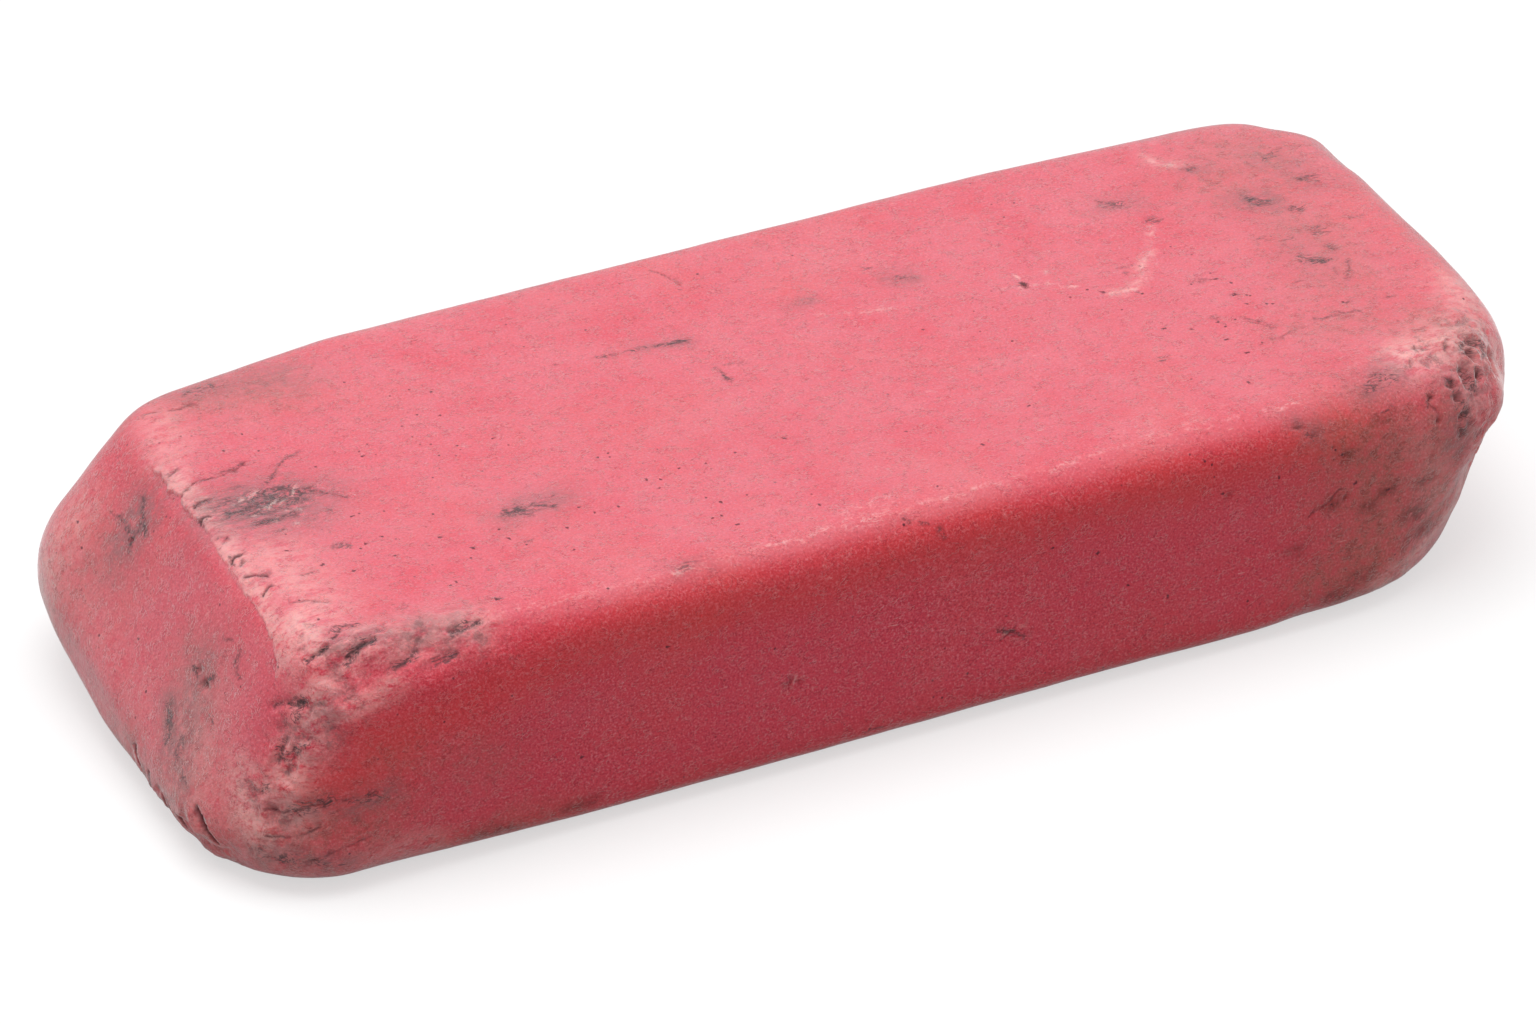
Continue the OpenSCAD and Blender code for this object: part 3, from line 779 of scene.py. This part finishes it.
def worn_lift(points, out, marks, covers, crumbs):
    """How far wear moves each point outwards, how pale it is rubbed in the band above a lip, and
    how much shade is painted on it for lying deep in a pit."""
    lift = SLOW_UNEVENNESS * field(points, 9.0, 2, 1.0) + FINE_UNEVENNESS * field(points, 1.6, 3, 5.0)
    lift += covers["crevice"] * (CRUMB_HEIGHT * crumbs + TORN_SWELL)
    lift += CREST_HEIGHT * strokes(drift(points, 1.2, 0.1, 8.0), marks["chafe"][:1])
    band = np.zeros(len(points))
    frayed = drift(drift(points, 1.2, 0.22, 21.0), 0.35, 0.12, 27.0)
    for depth, reach, line in marks["lip"]:
        below = below_lip(frayed, out, line)
        # A lip fades out towards both of its ends.
        fade = ramp(np.linalg.norm(points - line[0], axis=1), 0.3, 2.5)
        fade *= ramp(np.linalg.norm(points - line[-1], axis=1), 0.3, 2.0)
        lift -= depth * fade * ramp(below, -0.05, 0.1) * np.exp(-np.maximum(below, 0) / reach)
        lift += LIP_SHARE * depth * fade * bell(np.minimum(below, 0), 0.3) * (below < 0)
        rubbed = ramp(-below, -0.12, 0.12) * ramp(below, -1.3, -0.5)
        band = np.maximum(band, BAND_PALENESS * fade * rubbed)
    for width, height, line in marks["swell"]:
        lift += height * bell(distance_to_line(points, line), width)
    pit_shade = np.zeros(len(points))
    broken_out = drift(drift(points, 0.9, 0.14, 3.0), 0.4, 0.13, 41.0)
    for radius, depth, line in marks["pit"]:
        gap = distance_to_line(broken_out, line) / radius
        pit_shade = np.maximum(pit_shade, bell(gap, 1.0))
        lift += depth * (PIT_RIM_SHARE * bell(gap - 1.6, 0.5) - bell(gap, 1.0))
    return lift - covers["crack"] + SCRATCH_HEIGHT * covers["scratch"], band, pit_shade


def worn_block():
    """The eraser: the CAD solid with its wear in the mesh, and its marks kept on its points."""
    block = evened(solid_in_millimetres())
    skin = BVHTree.FromBMesh(block)
    marks = {name: laid_on(skin, rows) for name, (rows, *_) in MARKS.items()}
    marks["swell"] = laid_on(skin, SWELLS)
    marks["pit"] = laid_on(skin, PITS)
    marks["lip"] = [
        (depth, reach, [np.array(skin.find_nearest(Vector(point))[0]) for point in line])
        for depth, reach, *line in LIPS
    ]

    # Finer mesh where the rubber is torn, and along the lip, the crest, the cracks and the pits.
    # It is finer still without the crest, and finest at the specks.
    fine = marks["crevice"] + along(marks["lip"], 0.4) + along(marks["crack"], 0.22)
    fine += along(marks["pencil"], 0.2) + along(marks["scratch"][2:], 0.16)
    fine += along(marks["speck"], 0.24)
    fine += [(radius + 0.15, 1.0, line) for radius, _, line in marks["pit"]]
    refine(block, strokes(places(block), fine + marks["chafe"][:1]) > 0.2)
    refine(block, strokes(places(block), fine) > 0.4)
    refine(block, strokes(places(block), along(marks["speck"], 0.17)) > 0.3)

    points = places(block)
    out = faces_out(block)
    covers = {
        name: strokes(drift(points, *raggedness), marks[name])
        for name, (_, *raggedness) in MARKS.items()
    }
    crumbs = field(drift(points, 0.7, 0.2, 17.0), 1.0, 5, 7.0)
    lift, band, covers["pit"] = worn_lift(points, out, marks, covers, crumbs)
    move(block, np.clip(points + out * lift[:, None], LOW, HIGH))

    covers["scuff"] = np.maximum(covers["scuff"], band)
    # The shade painted into a crack grows with its depth.
    covers["crack"] = np.minimum(covers["crack"] / FULL_CRACK_SHADE_DEPTH, 1)
    covers["crevice"] *= ramp(-crumbs, 0.0, 0.4)
    # Paler on what faces up and, less so, on the ends: partly chalky dust, partly a painted sheen for
    # the pale veil that light lays on the top and the ends.
    covers["dust"] = np.maximum(
        ramp(out[:, 2], 0.5, 1.0), 0.7 * ramp(np.abs(out[:, 0]), 0.6, 0.95)
    )
    for name, cover in covers.items():
        layer = block.verts.layers.float.new(name)
        for point, value in zip(block.verts, cover):
            point[layer] = value

    bmesh.ops.scale(block, vec=(MM,) * 3, verts=block.verts)
    for face in block.faces:
        face.smooth = True
    mesh = bpy.data.meshes.new("worn_block")
    block.to_mesh(mesh)
    block.free()
    return in_scene("worn_block", mesh)


# ---- Material ----

# Ways in which streaks and fibres run: how far they are turned from the block's length, in degrees
# about X, Y and Z, and how many times longer than wide they are.
WAYS = {
    "grain": ((0, 0, 12), 2.2),
    "curl": ((0, 0, 16), 1.5),
    "web": ((0, 0, 10), 2.5),
    "smear": ((0, 0, 20), 2.4),
    "scribble": ((0, 0, 20), 3.0),
    "hair": ((0, 0, 14), 9.0),
    "crossing hair": ((15, 34, -32), 9.0),
    "steep hair": ((-10, -55, 60), 9.0),
}

# Uneven patterns: (size of the lumps, way, detail, roughness, distortion)
LUMPS = {
    # Unevenly mixed rubber, and the drawn-out streaks and coarse skin that rubbing leaves
    "patches": (7.0, None, 3, 0.55, 0.6),
    "streaks": (1.3, "grain", 3, 0.65, 0),
    "skin": (0.45, "grain", 3, 0.7, 0),
    # Pumice grains of about 0.05 mm, drawn twice as coarse so that they show
    "grain": (0.1, None, 1, 0.7, 0),
    # Chalk dust, dirt and skin that is rubbed off in streaks
    "chalk": (3.0, None, 3, 0.7, 0),
    "dirt": (0.6, None, 4, 0.8, 0),
    "fine dirt": (0.25, None, 2, 0.75, 0),
    "rubbed skin": (0.4, "grain", 3, 0.8, 0),
    # Curled lint, where it breaks off, where hairs stand thick, and chafed fibres in tufts
    "curls": (0.22, "curl", 2, 0.6, 0),
    "breaks": (0.6, None, 2, 0.7, 0),
    "thickets": (1.8, None, 2, 0.55, 0),
    "webs": (0.5, "web", 3, 0.65, 0),
    "tufts": (0.8, None, 2, 0.55, 0),
    "fraying": (0.4, None, 3, 0.8, 0),
    # Graphite that is smeared, scribbled and broken up by the grain, and loose clusters of grit
    "smears": (0.3, "smear", 3, 0.8, 0),
    "scribbles": (0.5, "scribble", 3, 0.75, 0.8),
    "gaps": (0.14, None, 2, 0.7, 0),
    "clusters": (4.0, None, 2, 0.55, 0),
}

# Thin lines along which a pattern has one value: (pattern, value)
CONTOURS = {
    "thread": ("curls", 0.5),
    "fold": ("curls", 0.42),
    "fibre": ("webs", 0.5),
    "strand": ("scribbles", 0.5),
}

# Separate small flecks, one at most in each cell, soft from 0.4 of their radius outwards: (what they
# are, way, size of the cells, radius of the flecks, share of the cells that have one)
FLECKS = [
    ("hairs", "hair", 0.2, 0.032, 0.14),
    ("hairs", "crossing hair", 0.2, 0.032, 0.1),
    ("hairs", "steep hair", 0.2, 0.032, 0.08),
    ("grit", None, 0.45, 0.07, 0.6),
]

ROSE_RUBBER = "#DC4558"

# What lies over the rose rubber, from the bottom up: (colour, the mark that it keeps to, the pattern
# that shapes it, that pattern's values where the colour starts and where it is full, its strength).
# Where no pattern is named, the mark alone shapes it.
LAYERS = [
    # Warmer and cooler patches, and a grain of pumice that shows most where there is least dust and
    # painted sheen
    ("#DE5650", None, "patches", 0.45, 0.7, 0.22),
    ("#E46A78", None, "streaks", 0.45, 0.75, 0.18),
    ("#B8324A", None, "skin", 0.52, 0.8, 0.3),
    ("#F08C98", "bare", "grain", 0.5, 0.75, 0.62),
    ("#A82C3E", "bare", "grain", 0.48, 0.25, 0.66),
    # Warm red, partly fresh rubber and partly painted light, then chalky dust with a painted sheen
    ("#E0402F", "fresh", 0.36),
    ("#F3D4DE", "dust", "chalk", -0.2, 0.8, 0.18),
    # Brown dirt, then the pale rubbed places over it, and a painted highlight on the right end's
    # front corner
    ("#A87A68", "grime", "dirt", 0.1, 0.6, 0.5),
    ("#6A3224", "grime", "dirt", 0.45, 0.68, 0.5),
    ("#4A2318", "blotch", "fine dirt", 0.25, 0.55, 0.85),
    ("#F7C0BB", "scuff", "rubbed skin", 0.3, 0.6, 0.8),
    # Pale curled lint of the rubbed skin with painted shade beside it, as on the shaded side of a
    # wrinkle, and pale hairs
    ("#F5AAA8", "lint", 0.22),
    ("#8E2A3A", "broken", "fold", 0.04, 0, 0.4),
    ("#F9C4C0", "hairs", "thickets", 0.35, 0.65, 0.45),
    ("#F9BDBB", "tufted", "fibre", 0.03, 0, 0.6),
    # Graphite: a grey haze round dark fibrous streaks, with pale rubber showing between them
    ("#85696B", "haze", "smears", 0.25, 0.6, 0.85),
    ("#443A3D", "smudge", 0.85),
    ("#43383B", "pencil", "gaps", 0.34, 0.56, 0.85),
    # Painted shade in pits and cracks, darkest where they are deepest, dark grey-brown in the
    # crevices between crumbs, and pale scratches
    ("#6E2F2E", "pit", 0.5),
    ("#6E5152", "crevice", "dirt", 0.4, 0.6, 0.6),
    ("#4A262B", "crack", 0.8),
    ("#FBD0CA", "scratch", "fraying", 0.4, 0.62, 0.75),
    # Dark specks of grit, 0.1 to 0.15 mm across, in loose clusters and where they are marked
    ("#54222E", "specks", 0.85),
]

# The sockets of a colour Mix node.
FACTOR, UNDER, OVER, MIXED = 0, 6, 7, 2


def linear(hex_colour):
    """An sRGB hex colour as linear RGBA."""
    channels = [int(hex_colour[i:i + 2], 16) / 255 for i in (1, 3, 5)]
    return tuple(
        c / 12.92 if c <= 0.04045 else ((c + 0.055) / 1.055) ** 2.4 for c in channels
    ) + (1.0,)


def add_node(tree, kind, inputs=None, output=0, **settings):
    """Adds a shader node with its settings, and its inputs as values or links, and gives one of its
    outputs."""
    made = tree.nodes.new("ShaderNode" + kind)
    for name, value in settings.items():
        setattr(made, name, value)
    for key, value in (inputs or {}).items():
        if isinstance(value, bpy.types.NodeSocket):
            tree.links.new(value, made.inputs[key])
        else:
            made.inputs[key].default_value = value
    return made.outputs[output] if made.outputs else None


def own_tree(owner):
    """The empty node tree of a material or a world."""
    owner.use_nodes = True
    owner.node_tree.nodes.clear()
    return owner.node_tree


def vulcanised_pink_rubber():
    """Natural rubber filled with pumice, moulded and then rubbed on paper: matte, with a dusty
    sheen, a fine gritty grain and short pale fibres where its skin is worn."""
    material = bpy.data.materials.new("vulcanised_pink_rubber")
    tree = own_tree(material)
    add = functools.partial(add_node, tree)

    def fade(pattern, low, high, strength=1.0, within=None):
        """A soft step from 0 where a pattern is low to the strength where it is high, kept within
        a mark."""
        amount = add("MapRange", {
            "Value": pattern, "From Min": low, "From Max": high, "To Max": strength,
        }, interpolation_type="SMOOTHSTEP")
        if within is not None:
            amount = add("Math", {0: within, 1: amount}, operation="MULTIPLY")
        return amount

    # The place in millimetres, so that every scale below is one over a real size, and the same
    # bent a little, so that fibres and streaks aren't straight.
    here = add("TexCoord", output="Object")
    place = add("VectorMath", {0: here, "Scale": 1 / MM}, operation="SCALE")
    bend = add("TexNoise", {"Vector": place, "Scale": 1 / 1.2}, "Color")
    bent = add("VectorMath", {0: bend, 1: (0.45, 0.45, 0.45), 2: place}, operation="MULTIPLY_ADD")
    ways = {None: place}
    for name, (turn, stretch) in WAYS.items():
        ways[name] = add("Mapping", {
            "Vector": bent, "Rotation": [math.radians(angle) for angle in turn],
            "Scale": (1 / stretch, 1, 1),
        })

    # Everything that a layer can keep to or be shaped by, starting with the marks on the mesh.
    seen = {
        name: add("Attribute", output="Fac", attribute_name=name) for name in (*MARKS, "pit", "dust")
    }
    for name, (size, way, detail, roughness, distortion) in LUMPS.items():
        seen[name] = add("TexNoise", {
            "Vector": ways[way], "Scale": 1 / size, "Detail": detail, "Roughness": roughness,
            "Distortion": distortion,
        })
    for name, (pattern, value) in CONTOURS.items():
        off = add("Math", {0: seen[pattern], 1: value}, operation="SUBTRACT")
        seen[name] = add("Math", {0: off}, operation="ABSOLUTE")
    for name, way, size, radius, share in FLECKS:
        middle = add("TexVoronoi", {"Vector": ways[way], "Scale": 1 / size}, "Distance")
        pick = add("SeparateColor", {0: middle.node.outputs["Color"]})
        near = fade(middle, radius / size, 0.4 * radius / size)
        fleck = fade(pick, share, 0.0, within=near)
        seen[name] = add("Math", {0: seen.get(name, 0.0), 1: fleck}, operation="MAXIMUM")

    # The grain shows less under the dust and painted sheen, and lint and chafed fibres come in broken
    # patches.
    seen["bare"] = add("Math", {0: seen["dust"], 1: -0.4, 2: 1.0}, operation="MULTIPLY_ADD")
    seen["broken"] = fade(seen["breaks"], 0.42, 0.62)
    seen["lint"] = fade(seen["thread"], 0.045, 0.0, within=seen["broken"])
    seen["tufted"] = fade(seen["tufts"], 0.42, 0.6, within=seen["chafe"])
    # Graphite clots where a smudge is dense, and lies in strands round that.
    dense = add("Math", {0: seen["graphite"], 1: 0.6, 2: seen["smears"]}, operation="MULTIPLY_ADD")
    strands = fade(seen["strand"], 0.04, 0.0, within=fade(seen["graphite"], 0.15, 0.6))
    seen["smudge"] = add("Math", {0: fade(dense, 0.92, 1.2), 1: strands}, operation="MAXIMUM")
    # Grit lies in loose clusters, and where it is marked.
    loose = fade(seen["clusters"], 0.45, 0.62, within=seen["grit"])
    marked = fade(seen["speck"], 0.3, 0.6)
    seen["specks"] = add("Math", {0: loose, 1: marked}, operation="MAXIMUM")

    colour = linear(ROSE_RUBBER)
    for tint, mark, *shaped, strength in LAYERS:
        within = seen[mark] if mark else None
        if shaped:
            pattern, start, full = shaped
            amount = fade(seen[pattern], start, full, strength, within)
        else:
            amount = add("Math", {0: within, 1: strength}, operation="MULTIPLY")
        colour = add("Mix", {
            FACTOR: amount, UNDER: colour, OVER: linear(tint),
        }, MIXED, data_type="RGBA")

    low_relief = add("Math", {0: seen["lint"], 1: 0.6, 2: seen["grain"]}, operation="MULTIPLY_ADD")
    relief = add("Math", {0: seen["skin"], 1: 1.6, 2: low_relief}, operation="MULTIPLY_ADD")
    bump = add("Bump", {"Height": relief, "Strength": 0.7, "Distance": 0.03 * MM})
    # Graphite is a little shinier than the matte rubber.
    roughness = add("MapRange", {"Value": seen["smudge"], "To Min": 0.75, "To Max": 0.5375})
    shader = add("BsdfPrincipled", {
        "Base Color": colour, "Roughness": roughness, "IOR": 1.52, "Normal": bump,
        "Specular IOR Level": 0.12, "Sheen Weight": 1.0, "Sheen Roughness": 0.35,
        "Subsurface Weight": 0.25, "Subsurface Radius": (1.0, 0.15, 0.1),
        "Subsurface Scale": 1.0 * MM,
    })
    add("OutputMaterial", {"Surface": shader})
    return material


# ---- Studio ----

# What the floor adds to its own light where it is seen, so that it shows white.
FLOOR_GLOW = 0.6
# The strength of the even light all round.
EVEN_LIGHT = 0.46


def shows_white(tree):
    """1 for the rays that see the background itself, so that it looks white, and 0 for the rest."""
    seen = add_node(tree, "LightPath", output="Is Camera Ray")
    rays = seen.node.outputs
    for other in ("Is Glossy Ray", "Is Transmission Ray"):
        seen = add_node(tree, "Math", {0: seen, 1: rays[other]}, operation="MAXIMUM")
    return seen


def pale_floor():
    """A matt white floor that shows white, with the block's soft shadow on it."""
    floor_mesh = bpy.data.meshes.new("floor")
    sheet = bmesh.new()
    bmesh.ops.create_grid(sheet, x_segments=1, y_segments=1, size=3.0)
    sheet.to_mesh(floor_mesh)
    sheet.free()
    floor = in_scene("floor", floor_mesh)
    # A hair below the block, so that its flat underside and the floor aren't in the same plane.
    floor.location.z = -0.02 * MM
    material = bpy.data.materials.new("matt_white_floor")
    tree = own_tree(material)
    level = add_node(tree, "Math", {0: shows_white(tree), 1: FLOOR_GLOW}, operation="MULTIPLY")
    matt = add_node(tree, "BsdfDiffuse", {"Color": linear("#ABABAB")})
    glow = add_node(tree, "Emission", {"Color": linear("#FFFFFF"), "Strength": level})
    both = add_node(tree, "AddShader", {0: matt, 1: glow})
    add_node(tree, "OutputMaterial", {"Surface": both})
    floor_mesh.materials.append(material)


def soft_light(name, place, size, power):
    """A square soft box that faces the block."""
    lamp = bpy.data.lights.new(name, "AREA")
    lamp.size = size
    lamp.energy = power
    holder = in_scene(name, lamp)
    holder.location = place
    holder.rotation_mode = "QUATERNION"
    holder.rotation_quaternion = (-Vector(place)).to_track_quat("-Z", "Y")


def studio_world():
    """Even light all round, which shows white behind the floor."""
    world = bpy.data.worlds.new("studio")
    bpy.context.scene.world = world
    tree = own_tree(world)
    level = add_node(tree, "MapRange", {
        "Value": shows_white(tree), "To Min": EVEN_LIGHT, "To Max": 1.0,
    })
    sky = add_node(tree, "Background", {"Color": linear("#FFFFFF"), "Strength": level})
    add_node(tree, "OutputWorld", {"Surface": sky})


def camera():
    """A long lens, a little above the front left, looking along the block."""
    turn, rise, roll = math.radians(-26.7), math.radians(33.0), math.radians(0.55)
    distance, right_shift, up_shift, height = 357, -0.87, -1.51, 5.5
    back = Vector((
        math.sin(turn) * math.cos(rise), -math.cos(turn) * math.cos(rise), math.sin(rise),
    ))
    level_right = Vector((math.cos(turn), math.sin(turn), 0.0))
    level_up = back.cross(level_right)
    right = level_right * math.cos(roll) + level_up * math.sin(roll)
    up = level_up * math.cos(roll) - level_right * math.sin(roll)
    target = Vector((0, 0, height)) + right * right_shift + up * up_shift
    frame_of_view = Matrix((right, up, back)).transposed().to_4x4()
    frame_of_view.translation = (target + back * distance) * MM
    lens = bpy.data.cameras.new("camera")
    lens.sensor_width = 36
    lens.lens = 212
    lens.clip_start = 0.01
    holder = in_scene("camera", lens)
    holder.matrix_world = frame_of_view
    bpy.context.scene.camera = holder


camera()
piece = worn_block()
piece.data.materials.append(vulcanised_pink_rubber())
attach(piece, "root")
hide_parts(NODE)

pale_floor()
soft_light("overhead", (-0.035, 0.06, 0.5), 0.4, 2.1)
soft_light("right_fill", (0.4, -0.06, 0.12), 0.25, 0.15)
studio_world()
bpy.context.scene.view_settings.view_transform = "Standard"
